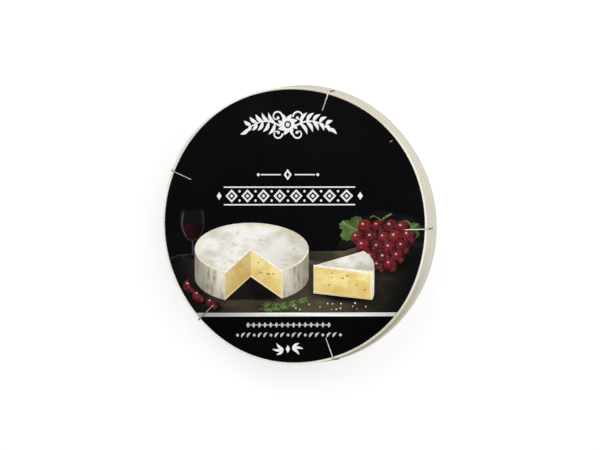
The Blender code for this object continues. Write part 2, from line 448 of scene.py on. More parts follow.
lidStrip = {
    "piece": "lidHoopStrip",
    "node": "lid_hoop",
    "inner": labelRadius + 0.1 * mm,
    "top": lidTop,
    "bottom": lidBottom,
    "wall": 0.75 * mm,
    "flare": 1.4 * mm,
    "lapTip": math.radians(163.5),
    "lapLength": 22.0 * mm,
    "lapRamp": 16.0 * mm,
    "fullRise": 0.7 * mm,
    "tipRise": 0.25 * mm,
    "lapGap": 0.12 * mm,
    "gapCloses": 0.7,        # share of that gap which is gone at the tip
    "thinUnder": 0.03 * mm,  # least thickness of the end that lies under
    "thinOver": 0.12 * mm,   # and of the end that lies over
    "endTrim": 0.8 * mm,     # cut off the thin start of the ramp
    "stitchInset": 12.0 * mm,   # from the lap's tip
    "staplesAt": (-0.2, 72.7, 156.5, 224.8, 289.6),
    "notchDepth": 0.38 * mm,
    "notchHalfWidth": 0.55 * mm,
    "notchFlat": 0.55,       # shares of that half width: its flat middle, and its slope
    "notchSlope": 0.6,
    "notchPlaces": 9,        # closer places on each side of a notch, and their pace
    "notchPace": 0.13 * mm,
    "notchOnTop": True,
    "edgeRound": 0.12 * mm,
    "edgeBand": 0.5 * mm,    # how far from an edge the wood looks freshly cut
    "rows": 20,
    "step": 0.5,             # degrees
    "grainRelief": 0.03 * mm,
    # noise in it: how quick along and across the strip, offset of its seed, and share
    "reliefNoise": ((0.05, 2.1, 0.0, 1.0), (0.12, 4.7, 9.0, 0.6)),
    "bulge": 0.06 * mm,
    "bulgePace": 2.2,
    # how far it is out of round at its top and bottom, as cosine and sine of 0, 1, 2 and more lobes
    "topWave": (
        (-0.05, 0.0), (-0.007, -0.012), (0.103, 0.012), (0.071, 0.145), (-0.132, -0.002),
        (-0.119, -0.015), (0.014, 0.036),
    ),
    "bottomWave": (
        (0.014, 0.0), (-0.044, -0.004), (-0.055, -0.097), (0.039, 0.004), (0.046, -0.063), (0.092, -0.003),
    ),
    "raggedTop": 0.05 * mm,
    "raggedBottom": 0.09 * mm,
    "topNoise": ((0.22, 1.0), (1.3, 0.6)),   # pace and share
    "bottomNoise": ((0.15, 1.0), (1.1, 0.5)),
    "seed": 11.0,
}
baseStrip = dict(
    lidStrip,
    piece="baseHoopStrip",
    node="base_hoop",
    inner=labelRadius - 1.35 * mm,
    top=baseTop,
    bottom=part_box("base_hoop")[0].z,
    flare=0.0,
    lapTip=math.radians(306.0),
    fullRise=0.3 * mm,
    tipRise=0.2 * mm,
    lapGap=0.05 * mm,
    stitchInset=6.0 * mm,
    staplesAt=(31.0, 104.5, 175.0, 249.0, 319.5),
    notchDepth=0.68 * mm,
    notchOnTop=False,
    rows=30,
    raggedTop=0.02 * mm,
    raggedBottom=0.05 * mm,
    topWave=(),
    bottomWave=(),
    seed=47.0,
)


def waveAt(wave, angle):
    return mm * sum(c * math.cos(n * angle) + s * math.sin(n * angle) for n, (c, s) in enumerate(wave))


def leanAt(p, angle, height):
    # what the lean and the waves add to the hoop's radius
    share = (p["top"] - height) / (p["top"] - p["bottom"])
    waves = (1 - share) * waveAt(p["topWave"], angle) + share * waveAt(p["bottomWave"], angle)
    return p["flare"] * share + waves


def noiseSum(place, waves):
    return sum(part * noise.noise(place * pace) for pace, part in waves)


def outwardsAt(angle):
    return Vector((math.cos(angle), math.sin(angle), 0))


def outerRadius(p):
    return p["inner"] + p["wall"]


def lengthTo(p, angle):
    # length along the strip from the lap's tip
    return ((angle - p["lapTip"]) % math.tau) * outerRadius(p)


def stripFaces(p, s, full):
    # distances of the veneer's inner and outer face from the disc, at a length s from the point under its tip
    pastRamp = s + p["lapLength"] if s < 0 else s - full + p["lapLength"]
    climb = clamp(1 + pastRamp / p["lapRamp"])
    along = clamp(pastRamp / p["lapLength"])
    rise = p["fullRise"] * climb - (p["fullRise"] - p["tipRise"]) * along
    gap = p["lapGap"] * climb * (1 - p["gapCloses"] * along)
    start = max(p["thinUnder"], p["fullRise"] * climb - gap)
    innerEnd = start + (p["wall"] - start) * along
    if s < 0:
        return 0.0, innerEnd
    if climb == 0:
        return 0.0, p["wall"]
    return innerEnd + gap, max(p["wall"] + rise, innerEnd + gap + p["thinOver"])


def stripPlaces(p):
    # lengths along the strip, closer together at its notches
    radius = outerRadius(p)
    full = math.tau * radius
    start = -(p["lapLength"] + p["lapRamp"] - p["endTrim"])
    pace = math.radians(p["step"]) * radius
    count = round((full - start) / pace)
    places = {start + (full - start) * index / count for index in range(count + 1)}
    for angle in p["staplesAt"]:
        middle = lengthTo(p, math.radians(angle))
        for side in range(-p["notchPlaces"], p["notchPlaces"] + 1):
            for lap in (0, full):
                place = middle + side * p["notchPace"] - lap
                if start < place < full:
                    places.add(place)
    return sorted(places), full, radius


def notchAt(p, angle, radius):
    deepest = 0.0
    for staple in p["staplesAt"]:
        away = (angle - math.radians(staple) + math.pi) % math.tau - math.pi
        share = abs(away) * radius / p["notchHalfWidth"]
        deepest = max(deepest, 1 - eased((share - p["notchFlat"]) / p["notchSlope"]))
    return deepest * p["notchDepth"]


def stripSection(p, s, full, radius):
    # one loop round the veneer: up its outer face, over the top edge, down inside and back below
    angle = p["lapTip"] + s / radius
    inside, outside = stripFaces(p, s, full)
    turning = outwardsAt(angle)
    slow = turning * p["bulgePace"] + Vector((p["seed"], 0, 0))
    quick = Vector((s / mm, p["seed"], 0))
    bulge = p["bulge"] * (0.5 + 0.5 * noise.noise(slow))
    top = p["top"] + p["raggedTop"] * noiseSum(quick, p["topNoise"])
    bottom = p["bottom"] + p["raggedBottom"] * abs(noiseSum(quick, p["bottomNoise"]))
    notch = notchAt(p, angle, radius)
    if p["notchOnTop"]:
        top -= notch
    else:
        bottom += notch
    rounding = min(p["edgeRound"], (outside - inside) * 0.4)
    corner = 0.3 * rounding   # the middle of a rounded edge lies that far in from both faces
    loop = []   # offset from the disc, height, how much of a cut edge it is
    rows = p["rows"]
    for row in range(rows + 1):
        share = row / rows
        height = bottom + rounding + (top - bottom - 2 * rounding) * share
        nearEdge = 1 - min(top - height, height - bottom) / p["edgeBand"]
        relief = 0.0
        for along, across, offset, part in p["reliefNoise"]:
            relief += part * noise.noise(Vector((s / mm * along, height / mm * across, p["seed"] + offset)))
        fade = clamp(min(share, 1 - share) * rows / 2)
        loop.append((outside + p["grainRelief"] * relief * fade, height, clamp(nearEdge)))
    middle = (inside + outside) / 2
    loop += [(outside - corner, top - corner, 1.0), (outside - rounding, top, 1.0)]
    loop += [(middle, top + 0.02 * mm * noise.noise(quick * 2.0), 1.0)]
    loop += [(inside + rounding, top, 1.0), (inside + corner, top - corner, 1.0)]
    loop += [(inside, top - share * (top - bottom), 0.0) for share in (0.02, 0.06, 0.5, 0.94)]
    loop += [(inside + corner, bottom + corner, 1.0), (inside + rounding, bottom, 1.0)]
    loop += [(middle, bottom, 1.0), (outside - rounding, bottom, 1.0)]
    loop += [(outside - corner, bottom + corner, 1.0)]
    points = []
    for offset, height, cut in loop:
        reach = p["inner"] + bulge + offset + leanAt(p, angle, height)
        points.append((turning * reach + Vector((0, 0, height)), offset, height, cut))
    return points


def makeHoop(p, material):
    places, full, radius = stripPlaces(p)
    body = bmesh.new()
    alongStrip = body.loops.layers.uv.new("alongStrip")
    cutEdge = body.verts.layers.float.new("cutEdge")
    rings = []
    for s in places:
        ring, travelled, before = [], 0.0, None
        for point, offset, height, cut in stripSection(p, s, full, radius):
            vert = body.verts.new(point)
            vert[cutEdge] = cut
            if before is not None:
                travelled += (Vector((offset, height)) - before).length
            before = Vector((offset, height))
            ring.append((vert, s, travelled))
        rings.append(ring)
    count = len(rings[0])
    for first, second in zip(rings, rings[1:]):
        for index in range(count):
            corners = (first[index], second[index], second[(index + 1) % count], first[(index + 1) % count])
            face = body.faces.new([corner[0] for corner in corners])
            face.smooth = True
            last = index == count - 1
            for loop, (_, s, travelled), low in zip(face.loops, corners, (True, True, False, False)):
                if last and not low:
                    travelled = corners[0][2] + p["edgeRound"]
                loop[alongStrip].uv = (s, travelled)
    for ring in (rings[0], rings[-1]):
        face = body.faces.new([corner[0] for corner in ring])
        for loop, (_, s, travelled) in zip(face.loops, ring):
            loop[alongStrip].uv = (s, travelled)
    bmesh.ops.recalc_face_normals(body, faces=body.faces)
    mesh = bpy.data.meshes.new(p["piece"])
    body.to_mesh(mesh)
    body.free()
    mesh.materials.append(material)
    mesh.set_sharp_from_angle(angle=math.radians(50))
    piece = addObject(p["piece"], mesh)
    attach(piece, "root")
    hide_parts(p["node"])


# places along the strip: the painted shade streak's with its height, the stretches of painted shade on the
# cut edge with their reach
lidMarks = {
    "shadeStreakAt": (lengthTo(lidStrip, math.radians(311.0)), 8.8 * mm),
    "edgeShadeAt": (
        (lengthTo(lidStrip, math.radians(64.0)), 32.0 * mm),
        (lengthTo(lidStrip, math.radians(312.0)), 28.0 * mm),
    ),
}
makeHoop(lidStrip, hoopMaterial("lidHoopWood", hoopWood, **lidMarks))
makeHoop(baseStrip, hoopMaterial("baseHoopWood", dict(hoopWood, greying=0.2)))
print("hoops made")


# Wire: hooked staples over the hoops' edges and short wires through the laps

wire = {
    "radius": 0.27 * mm,
    "clear": 0.04 * mm,
    "bend": 0.42 * mm,
    "bite": 0.95 * mm,   # how far the ends are driven into the wood
    "arch": 0.02 * mm,   # how far a leg stands up in its middle, and dips at its end
    "dip": 0.04 * mm,
    "press": 0.05 * mm,  # how far the leg on the wall leans into it
    "stitch": 9.0 * mm,
    "stitchSteps": 6,
    "stitchesAt": (0.28, 0.72),   # shares of the height of wall that shows
    "sides": 12,
    "bendSteps": 5,
}
# angle, leg on the disc, leg on the wall, sideways swing of each leg in degrees
lidStaples = (
    (-0.2, 9.2, 6.8, -2.6, 0.5),
    (72.7, 8.0, 7.6, 2.3, 1.5),
    (156.5, 9.9, 7.4, -0.5, -1.0),
    (224.8, 9.3, 7.2, 1.0, 1.5),
    (289.6, 9.3, 7.0, -1.5, 0.5),
)
baseStaples = (
    (31.0, 8.4, 8.2, 2.0, -2.0),
    (104.5, 7.6, 8.8, -3.5, 1.5),
    (175.0, 9.0, 8.4, 4.0, 2.5),
    (249.0, 7.2, 8.6, -1.5, -3.0),
    (319.5, 8.6, 8.9, 3.0, 1.0),
)


def wireTree():
    tree = bpy.data.node_groups.new("bentWire", "GeometryNodeTree")
    sockets = (
        ("Geometry", "Geometry"), ("Wire Radius", "Float"), ("Bend Radius", "Float"), ("Sides", "Int"),
        ("Bend Steps", "Int"), ("Finish", "Material"),
    )
    for label, kind in sockets:
        tree.interface.new_socket(label, in_out="INPUT", socket_type="NodeSocket" + kind)
    tree.interface.new_socket("Geometry", in_out="OUTPUT", socket_type="NodeSocketGeometry")
    given = tree.nodes.new("NodeGroupInput").outputs
    route = addNode(tree, "GeometryNodeMeshToCurve", Mesh=given["Geometry"])
    bends = addNode(
        tree, "GeometryNodeFilletCurve", {"mode": "POLY"}, Curve=route.outputs[0],
        Radius=given["Bend Radius"], Limit_Radius=True, Count=given["Bend Steps"],
    )
    section = addNode(
        tree, "GeometryNodeCurvePrimitiveCircle", Radius=given["Wire Radius"], Resolution=given["Sides"]
    )
    drawn = addNode(
        tree, "GeometryNodeCurveToMesh", Curve=bends.outputs[0], Profile_Curve=section.outputs[0],
        Fill_Caps=True,
    )
    smooth = addNode(tree, "GeometryNodeSetShadeSmooth", Geometry=drawn.outputs[0])
    real = addNode(tree, "GeometryNodeRealizeInstances", Geometry=smooth.outputs[0])
    done = addNode(tree, "GeometryNodeSetMaterial", Geometry=real.outputs[0], Material=given["Finish"])
    feed(tree.nodes.new("NodeGroupOutput").inputs[0], done.outputs[0])
    return tree


def socketOf(tree, label):
    return next(i.identifier for i in tree.interface.items_tree if i.name == label and i.in_out == "INPUT")


steelLook = {
    "steelInLight": ((244, 244, 246), (216, 216, 218)),
    "steelInShade": ((200, 200, 202), (164, 164, 166)),
    "brighter": (-10.0 * mm, 40.0 * mm),   # painted light: from the dimmer colours to the brighter ones, towards the label's upper right
    # painted reflection: the dark brown of the wires where they lie on a wall
    "darkReflection": srgb(80, 71, 60),
    "darkReflectionShares": (0.3, 0.8),           # over the disc, on a wall
}


def steelMaterial(look):
    material, _, shader, place, _ = newMaterial("staplewireSteel")
    drawn = noiseOf(place, (900.0, 900.0, 2600.0), 3.0, 0.6)
    dull = noiseOf(place, 420.0, 2.0, 0.5)
    steelInLight, steelInShade = (tint(srgb(*pale), dull, 0.35, 0.7, dark) for pale, dark in (look["steelInLight"], look["steelInShade"]))
    # painted light: the wires turn brighter towards the label's upper right
    towards = plus(axisOf(place, "X"), axisOf(place, "Y"))
    colour = mixColour(spread(towards, *look["brighter"]), steelInShade, steelInLight)
    # painted reflection: the wires turn dark brown where they lie on a wall, standing in for the dark
    # surround they reflect
    fromAxis = lengthOf(scaled(place, (1.0, 1.0, 0.0)))
    darkReflection = spread(fromAxis, labelRadius + 0.5 * mm, labelRadius + 1.2 * mm, *look["darkReflectionShares"])
    below = spread(axisOf(place, "Z"), lidTop - 0.8 * mm, lidTop + 0.1 * mm, 1.0, 0.1)
    colour = mixColour(times(darkReflection, below), colour, look["darkReflection"])
    coat(shader, colour, spread(drawn, 0.3, 0.7, 0.24, 0.42), drawn, 0.25, 0.02)
    shader.inputs["Metallic"].default_value = 1.0
    return material


def riseAt(p, angle):
    # how far the lap lifts the strip's outer face
    return stripFaces(p, lengthTo(p, angle), math.tau * outerRadius(p))[1] - p["wall"]


def stapleRoute(p, w, staple, face, up):
    angle, discLeg, wallLeg, discSwing, wallSwing = staple
    facing = math.radians(angle)
    outwards = outwardsAt(facing)
    sideways = Vector((-outwards.y, outwards.x, 0))
    standoff = w["radius"] + w["clear"]
    crown = face + up * standoff
    reach = outerRadius(p) + riseAt(p, facing) + standoff
    discLeg, drop = discLeg * mm, wallLeg * mm

    def fromWall(down):
        return reach + leanAt(p, facing, p["top"] - down if up > 0 else p["bottom"] + down)

    drift = math.tan(math.radians(discSwing)) * discLeg
    sway = math.tan(math.radians(wallSwing)) * drop
    crownOut = fromWall(0.0)
    flat = (
        (crownOut - discLeg, -w["bite"], drift),
        (crownOut - discLeg, -w["dip"], drift),
        (crownOut - 0.45 * discLeg, w["arch"], 0.47 * drift),
        (crownOut, 0.0, 0.0),
        (fromWall(0.5 * drop), -0.5 * drop, 0.46 * sway),
        (fromWall(drop) - w["press"], -drop, sway),
        (fromWall(drop) - w["bite"], -drop, sway),
    )
    return [outwards * out + sideways * side + Vector((0, 0, crown + up * rise)) for out, rise, side in flat]


def stitchRoute(p, w, height):
    # a short wire along the wall, driven in at both ends
    standoff = w["radius"] + w["clear"]
    steps = w["stitchSteps"]
    points = []
    for index in range(steps + 1):
        angle = p["lapTip"] - (p["stitchInset"] + w["stitch"] * index / steps) / outerRadius(p)
        reach = outerRadius(p) + riseAt(p, angle) + standoff + leanAt(p, angle, height)
        spot = outwardsAt(angle) * reach + Vector((0, 0, height))
        inwards = outwardsAt(angle) * -w["bite"]
        if index == 0:
            points.append(spot + inwards)
        points.append(spot)
        if index == steps:
            points.append(spot + inwards)
    return points


def stitchRoutes(p, w, lapTop):
    return [stitchRoute(p, w, p["bottom"] + share * (lapTop - p["bottom"])) for share in w["stitchesAt"]]


def makeWires(name, routes, nodes, w, tree, material):
    points, edges = [], []
    for route in routes:
        edges += [(len(points) + index, len(points) + index + 1) for index in range(len(route) - 1)]
        points += route
    mesh = bpy.data.meshes.new(name + "Route")
    mesh.from_pydata(points, edges, [])
    draft = addObject(name + "Route", mesh)
    modifier = draft.modifiers.new("bent wire", "NODES")
    modifier.node_group = tree
    values = {
        "Wire Radius": w["radius"], "Bend Radius": w["bend"], "Sides": w["sides"],
        "Bend Steps": w["bendSteps"], "Finish": material,
    }
    for label, value in values.items():
        modifier[socketOf(tree, label)] = value
    bpy.context.view_layer.update()
    depsgraph = bpy.context.evaluated_depsgraph_get()
    drawn = bpy.data.meshes.new_from_object(draft.evaluated_get(depsgraph))
    draft.modifiers.remove(modifier)
    bpy.data.objects.remove(draft, do_unlink=True)
    drawn.name = name
    piece = addObject(name, drawn)
    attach(piece, "root")
    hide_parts(*nodes)


bentWire = wireTree()
steel = steelMaterial(steelLook)
bedded = dict(wire, clear=-0.10 * mm)
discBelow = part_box("base_disc")[0].z
lidRoutes = [stapleRoute(lidStrip, wire, staple, labelHigh.z, 1) for staple in lidStaples]
baseRoutes = [stapleRoute(baseStrip, bedded, staple, discBelow, -1) for staple in baseStaples]
wireSets = (
    ("lidStaples", "lid_staple", lidRoutes),
    ("baseStaples", "base_staple", baseRoutes),
    ("lidStitches", "lid_stitch", stitchRoutes(lidStrip, wire, lidTop)),
    ("baseStitches", "base_stitch", stitchRoutes(baseStrip, wire, lidBottom)),
)
for name, node, routes in wireSets:
    nodes = [f"{node}_{index}" for index in range(1, len(routes) + 1)]
    makeWires(name, routes, nodes, wire, bentWire, steel)
print("wires made")


# Label print. Every shape is an outline in millimetres from the label's middle. Later shapes lie on
# earlier ones, and each has a frame of its own in which its ink shades it from -1 to 1.

shapes = []
printSlant = {"middle": 0.0172, "fan": -0.00083}   # slope of its middle row, and the change with each mm


def settled(point):
    # the print sits a little askew on the disc, and its rows fan out slightly
    x, y = point
    return Vector((x, y + x * (printSlant["middle"] + printSlant["fan"] * y)))


def lay(outline, ink, centre=(0, 0), along=(1, 0), across=(0, 1), tone=0.5):
    outline = [settled(point) for point in outline]
    shapes.append((outline, ink, settled(centre), Vector(along), Vector(across), tone))


def arc(centre, wide, deep, start=0.0, end=360.0, drop=0.0):
    steps = max(4, round(abs(end - start) / 9.0))
    full = abs(end - start) == 360
    angles = [math.radians(start + (end - start) * index / steps) for index in range(steps + (not full))]
    return [(centre[0] + wide * math.cos(a), centre[1] + deep * math.sin(a) - drop) for a in angles]


def oval(centre, wide, deep, ink, tone=0.5):
    lay(arc(centre, wide, deep), ink, centre, (wide, 0), (0, deep), tone)


def dot(centre, radius, ink, tone=0.5):
    oval(centre, radius, radius, ink, tone)


def bar(x, y, halfWidth, halfHeight, ink):
    corners = [(x - halfWidth, y - halfHeight), (x + halfWidth, y - halfHeight)]
    lay(corners + [(x + halfWidth, y + halfHeight), (x - halfWidth, y + halfHeight)], ink)


def lozenge(x, y, halfWidth, halfHeight, ink):
    lay([(x - halfWidth, y), (x, y - halfHeight), (x + halfWidth, y), (x, y + halfHeight)], ink)


def smoothLine(points, steps=7):
    # a smooth open line through a few points
    padded = [points[0]] + list(points) + [points[-1]]
    line = []
    for a, b, c, d in zip(padded, padded[1:], padded[2:], padded[3:]):
        a, b, c, d = Vector(a), Vector(b), Vector(c), Vector(d)
        for index in range(steps):
            t = index / steps
            line.append(0.5 * (2 * b + (c - a) * t + (2 * a - 5 * b + 4 * c - d) * t * t
                               + (3 * b - a - 3 * c + d) * t ** 3))
    return line + [Vector(points[-1])]


def ribbon(points, startWidth, endWidth, ink, tone=0.5, steps=7):
    line = smoothLine(points, steps)
    left, right = [], []
    for index, point in enumerate(line):
        ahead = line[min(index + 1, len(line) - 1)] - line[max(index - 1, 0)]
        side = Vector((-ahead.y, ahead.x)).normalized()
        width = startWidth + (endWidth - startWidth) * index / (len(line) - 1)
        left.append(point + side * width / 2)
        right.append(point - side * width / 2)
    lay(left + right[::-1], ink, line[len(line) // 2], (startWidth, 0), (0, startWidth), tone)


def leaf(base, angle, length, width, ink, tone=0.5):
    a = math.radians(angle)
    ahead, side = Vector((math.cos(a), math.sin(a))), Vector((-math.sin(a), math.cos(a)))
    base = Vector(base)
    upper, lower = [], []
    for index in range(9):
        t = index / 8
        half = width / 2 * math.sin(math.pi * t ** 0.8) ** 0.85 if 0 < t < 1 else 0.0
        spine = base + ahead * length * t + side * 0.12 * length * math.sin(math.pi * t)
        upper.append(spine + side * half)
        lower.append(spine - side * half)
    outline = lower + upper[-2:0:-1]
    lay(outline, ink, base + ahead * length / 2, ahead * length / 2, side * width / 2, tone)


# in millimetres and degrees
printLayout = {
    "bandTop": -35.62,
    "bandBottom": -37.18,
    "middle": -0.6,          # of the ornament, the short rule and the spray at the foot
    "ornament": 41.6,
    "shortRule": 21.2,
    "frieze": (-0.5, 12.5, 28.5, 3.6),   # middle, half width and half height
    "friezeCount": 8,
    "footLines": (-40.7, -44.9, -50.7),
    "lozengeRow": (-18.2, 2.52, 15),     # start, pitch and count
    "leafRow": (-23.0, 2.5, 19),
    "wheel": {
        "centre": (-17.0, -9.3), "wide": 25.5, "deep": 10.8, "tall": 11.4, "left": 243.0, "right": 303.0,
        "seed": 7,
    },
    "wedge": {"tip": (10.5, -16.2), "start": -15.0, "end": 34.0, "seed": 21},
    "glass": (-43.5, 2.5),   # middle of its bowl
    "grapes": (38.5, -5.0),
    "grapeRadius": 3.05,
    "grapeSeed": 5,
    "crumbSeed": 3,
}


def layDisc():
    # the disc itself, which doesn't slant with its print
    disc = []
    for degree in range(360):
        a = math.radians(degree)
        radius = (labelRadius + waveAt(lidStrip["topWave"], a)) / mm
        disc.append(Vector((radius * math.cos(a), radius * math.sin(a))))
    shapes.append((disc, "black", Vector((0, 0)), Vector((1, 0)), Vector((0, 1)), 0.5))


def acrossDisc(low, high):
    return [(-60, low), (60, low), (60, high), (-60, high)]


def layFoot(p):
    lay(acrossDisc(-60, p["bandBottom"]), "deep")
    middle = (p["bandTop"] + p["bandBottom"]) / 2
    half = (p["bandTop"] - p["bandBottom"]) / 2
    lay(acrossDisc(p["bandBottom"], p["bandTop"]), "silver", (11.0, middle), (48, 0), (0, half))


tendril = {"steps": 14, "turn": math.radians(320), "winding": 0.72, "widths": (0.75, 0.4), "bud": 0.62}


def curl(x, y, size, side, up):
    # a tendril that rises from a point, turns outwards and winds in on itself
    points = []
    for index in range(tendril["steps"] + 1):
        share = index / tendril["steps"]
        a = tendril["turn"] * share
        reach = size * (1 - tendril["winding"] * share)
        points.append((x + side * (size - reach * math.cos(a)), y + up * reach * math.sin(a)))
    ribbon(points, *tendril["widths"], "white", steps=3)
    dot(points[-1], tendril["bud"], "white")


def layOrnament(p):
    x, y = p["middle"], p["ornament"]
    for side in (-1, 1):
        spine = ((3.0, -0.6), (8.0, 1.3), (13.0, 0.8), (18.0, -2.2))
        ribbon([(x + side * out, y + rise) for out, rise in spine], 0.8, 0.4, "white")
        for index in range(5):
            out = 5.4 + 2.7 * index
            height = y - 0.6 + 2.1 * math.sin((out - 3) / 15 * math.pi) ** 0.8 - 0.02 * out
            size = 5.4 - 0.5 * index
            for lean in (1, -1):
                angle = 90 - side * (90 - lean * (56 - 3 * index) + 4 * index)
                leaf((x + side * out, height), angle, size, 1.5, "white")
        leaf((x + side * 17.2, y - 1.6), 90 - side * 122, 4.4, 1.5, "white")
        curl(x + side * 2.2, y + 3.2, 2.5, side, 1)
        curl(x + side * 2.2, y - 3.6, 2.3, side, -1)
    for index in range(8):
        leaf((x, y), 22.5 + 45 * index, 4.6, 2.1, "white")
    dot((x, y), 1.5, "black")
    dot((x, y), 0.85, "white")


def layRules(p):
    x, y = p["middle"], p["shortRule"]
    lozenge(x, y, 1.7, 2.3, "white")
    lozenge(x, y, 0.75, 1.1, "black")
    for side in (-1, 1):
        bar(x + side * 7.4, y, 4.4, 0.24, "white")
        dot((x + side * 12.9, y), 0.6, "white")
    x, y, halfWidth, halfHeight = p["frieze"]
    for side in (-1, 1):
        bar(x, y + side * halfHeight, halfWidth, 0.26, "white")
        lozenge(x + side * (halfWidth + 2.1), y, 1.1, 1.6, "white")
    pitch = 2 * halfWidth / p["friezeCount"]
    for index in range(p["friezeCount"]):
        place = x - halfWidth + pitch * (index + 0.5)
        lozenge(place, y, 2.75, 2.7, "white")
        lozenge(place, y, 1.75, 1.7, "black")
        lozenge(place, y, 0.8, 0.8, "white")
        if index:
            dot((place - pitch / 2, y + 1.9), 0.5, "white")
            dot((place - pitch / 2, y - 1.9), 0.5, "white")


def layFootLines(p):
    first, second, third = p["footLines"]
    start, pitch, count = p["lozengeRow"]
    for index in range(count):
        place = start + pitch * index
        lozenge(place, first, 0.85, 1.15, "grey")
        if index < count - 1:
            bar(place + pitch / 2, first, 0.28, 0.22, "grey")
    start, pitch, count = p["leafRow"]
    for index in range(count):
        place = start + pitch * index
        if index % 3 == 0:
            dot((place, second), 0.6, "grey")
        else:
            leaf((place - 0.8, second - 0.95), 48, 2.7, 0.95, "grey")
    for side in (-1, 1):
        for turn in (52, 90, 128):
            size = 4.9 - abs(turn - 90) / 40
            leaf((p["middle"] + side * 1.9, third), 90 - side * turn, size, 1.15, "white")
    lozenge(p["middle"], third, 0.95, 1.7, "white")


def layBackdrop(p):
    edge = [(-60, -15), (-50, -11.5), (50, -9.5), (60, -13)]
    lay(edge + [(60, p["bandTop"]), (-60, p["bandTop"])], "slate")
    lay(edge + [(x, y - 0.5) for x, y in edge[::-1]], "slateEdge")   # the slab's lit far edge
    folds = (
        ([(20, -9.7), (26, 2), (38, 6.5), (50, 4.5), (58, -2), (58, -12.5), (50, -9.6)], 0.4),
        ([(30, -9.6), (34, -1), (45, 2.5), (57, 0), (57, -3), (44, -1), (37, -5), (35, -9.7)], 0.62),
        ([(46, -9.6), (48, -4.5), (56, -5.5), (57, -12.5), (50, -9.6)], 0.55),
    )
    for outline, tone in folds:
        lay(outline, "drape", (42, -3), (16, 5), (-5, 9), tone)
    x, y = p["glass"]
    lay(arc((x, y), 5.6, 8.6, 150, 390), "glass", (x, y), (5.6, 0), (0, 8.6))
    lay(arc((x, y - 1.3), 5.0, 6.6, 180, 360), "wine", (x, y - 3.9), (5.0, 0), (0, 4.2))
    ribbon([(x - 4.1, y + 3.0), (x - 4.8, y - 2.0), (x - 2.9, y - 6.7)], 0.5, 0.25, "glint")
    ribbon([(x, y - 8.5), (x + 0.2, y - 11.5), (x, y - 14.5)], 0.7, 0.9, "glint", 0.2)
    oval((x, y - 15.1), 4.6, 1.1, "glass")


def layHoles(corner, along, down, count, furthest, highest, largest):
    for _ in range(count):
        spot = corner + along * random.uniform(0.15, furthest) + down * random.uniform(highest, 0.85)
        size = random.uniform(0.28, largest)
        oval(spot, size * 1.3, size * 0.75, "hole")


def layWheel(w):
    centre, wide, deep, tall = Vector(w["centre"]), w["wide"], w["deep"], w["tall"]
    left = Vector(arc(centre, wide, deep, w["left"], w["left"] + 1)[0])
    right = Vector(arc(centre, wide, deep, w["right"], w["right"] + 1)[0])
    down = Vector((0, -tall))
    oval(centre + down, wide * 1.13, deep * 1.16, "shade", 0.9)
    gap = [centre, left, left + down, right + down, right]
    lay(gap, "shade", centre + 1.6 * down, (18, 0), (0, 12), 0.85)
    # the left cut face lies in more shade than the right one
    for outer, tone in ((left, 0.35), (right, 0.62)):
        middle = (centre + outer + down) / 2
        cut = [centre, centre + down, outer + down, outer]
        lay(cut, "paste", middle, (outer - centre) / 2, -down / 2, tone)
    for start, end in ((180.0, w["left"]), (w["right"], 360.0)):
        wall = arc(centre, wide, deep, start, end) + arc(centre, wide, deep, end, start, tall)
        lay(wall, "rindSide", centre + down * 0.5 - Vector((0, deep / 2)), (wide, 0), (0, deep), 0.5)
    top = arc(centre, wide, deep, w["right"], 360.0 + w["left"]) + [centre]
    lay(top, "rindTop", centre, (wide, 0), (0, deep), 0.55)
    for start, end in ((184.0, w["left"]), (w["right"], 356.0)):
        ribbon(arc(centre, wide * 0.985, deep * 0.975, start, end), 0.5, 0.7, "crust", 0.7)
    for outer in (left, right):
        ribbon([centre, centre + (outer - centre) * 0.5, outer], 0.75, 0.85, "crust", 0.8)
    random.seed(w["seed"])
    for outer, count in ((left, 4), (right, 7)):
        layHoles(centre, outer - centre, down, count, 0.85, 0.22, 0.62)


def layWedge(w, wheel):
    tip, wide, deep, down = Vector(w["tip"]), wheel["wide"], wheel["deep"], Vector((0, -wheel["tall"]))
    front = Vector(arc(tip, wide, deep, w["start"], w["start"] + 1)[0])
    middle = (tip + front) / 2 + down
    oval(middle + Vector((1.5, 1.2)), 17.5, 5.0, "shade", 1.0)
    side = arc(tip, wide, deep, w["start"], 2.0) + arc(tip, wide, deep, 2.0, w["start"], wheel["tall"])
    lay(side, "rindSide", front + down * 0.5 + Vector((0.5, 1)), (2.2, 0), (0, 7), 0.3)
    cut = [tip, tip + down, front + down, front]
    lay(cut, "paste", middle - down / 2, (front - tip) / 2, -down / 2, 0.75)
    top = arc(tip, wide, deep, w["start"], w["end"]) + [tip]
    lay(top, "rindTop", tip + Vector((14, 1.5)), (14, 0), (0, 6), 0.7)
    ribbon([tip, (tip + front) / 2, front], 0.75, 0.85, "crust", 0.85)
    ribbon([tip + down * 0.97, (tip + front) / 2 + down * 0.97, front + down * 0.97], 0.5, 0.6, "crust", 0.3)
    random.seed(w["seed"])
    layHoles(tip, front - tip, down, 8, 0.88, 0.2, 0.65)


def vineLeaf(centre, radius, turn, tone):
    outline = []
    for index in range(60):
        a = math.radians(6 * index)
        lobes = 0.70 + 0.30 * abs(math.cos(2.5 * a)) ** 0.8 + 0.05 * math.sin(21 * a)
        notch = 1 - 0.45 * math.exp(-((math.degrees(a) - 180) / 16) ** 2)
        reach = radius * lobes * notch
        outline.append(Vector((math.cos(a + turn), math.sin(a + turn) * 0.8)) * reach + Vector(centre))
    ahead = Vector((math.cos(turn), math.sin(turn)))
    side = Vector((-ahead.y, ahead.x))
    lay(outline, "leaf", centre, ahead * radius, side * radius, tone)
    for index in range(5):
        a = turn + math.radians(-144 + 72 * index)
        end = Vector((math.cos(a), math.sin(a) * 0.8)) * radius * 0.86 + Vector(centre)
        start = Vector(centre) - ahead * radius * 0.25
        ribbon([start, (start + end) / 2 + side * 0.3, end], 0.38, 0.14, "leaf", 0.95)


